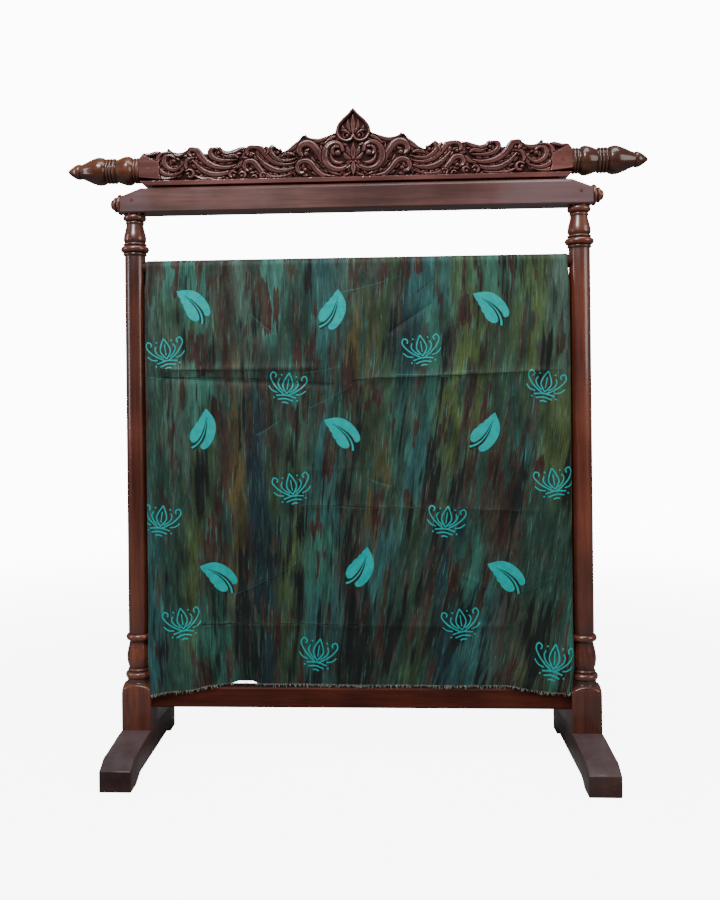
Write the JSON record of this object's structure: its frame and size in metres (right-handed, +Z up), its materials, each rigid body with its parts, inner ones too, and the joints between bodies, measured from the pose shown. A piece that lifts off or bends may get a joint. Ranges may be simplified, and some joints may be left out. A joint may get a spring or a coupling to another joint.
{
  "type": "batik cloth on a carved wooden hanging stand",
  "caption": "Long dyed batik cloth hung over the bar of a turned wooden stand with S-shaped feet, lower rail, beam and carved crest.",
  "frame": {"origin": "on the floor, midway between the two feet and midway front to back", "axes": "+Z up, +X along the rail and beam to the right, the shown side of the cloth faces -Y"},
  "size_m": [1.49, 0.464, 1.6566],
  "materials": {
    "foot_wood": "varnished, worn dark",
    "post_wood": "glossy mahogany varnish",
    "beam_wood": "satin mahogany varnish",
    "carved_wood": "carved, satin mahogany varnish",
    "finial_wood": "glossy amber brown varnish",
    "bar_wood": "plain stained",
    "batik_cotton": "soft mercerised cotton, hand dyed"
  },
  "bodies": {
    "root": {"cloth": "batik_cotton", "foot_left": "foot_wood", "foot_right": "foot_wood", "post_left": "post_wood", "post_right": "post_wood", "lower_rail": "foot_wood", "hanging_bar": "bar_wood", "top_beam": "beam_wood", "beam_button_left": "post_wood", "beam_button_right": "post_wood", "crest_rest": "bar_wood", "crest_board": "carved_wood", "crest_finial_left": "finial_wood", "crest_finial_right": "finial_wood"}
  },
  "joints": []
}
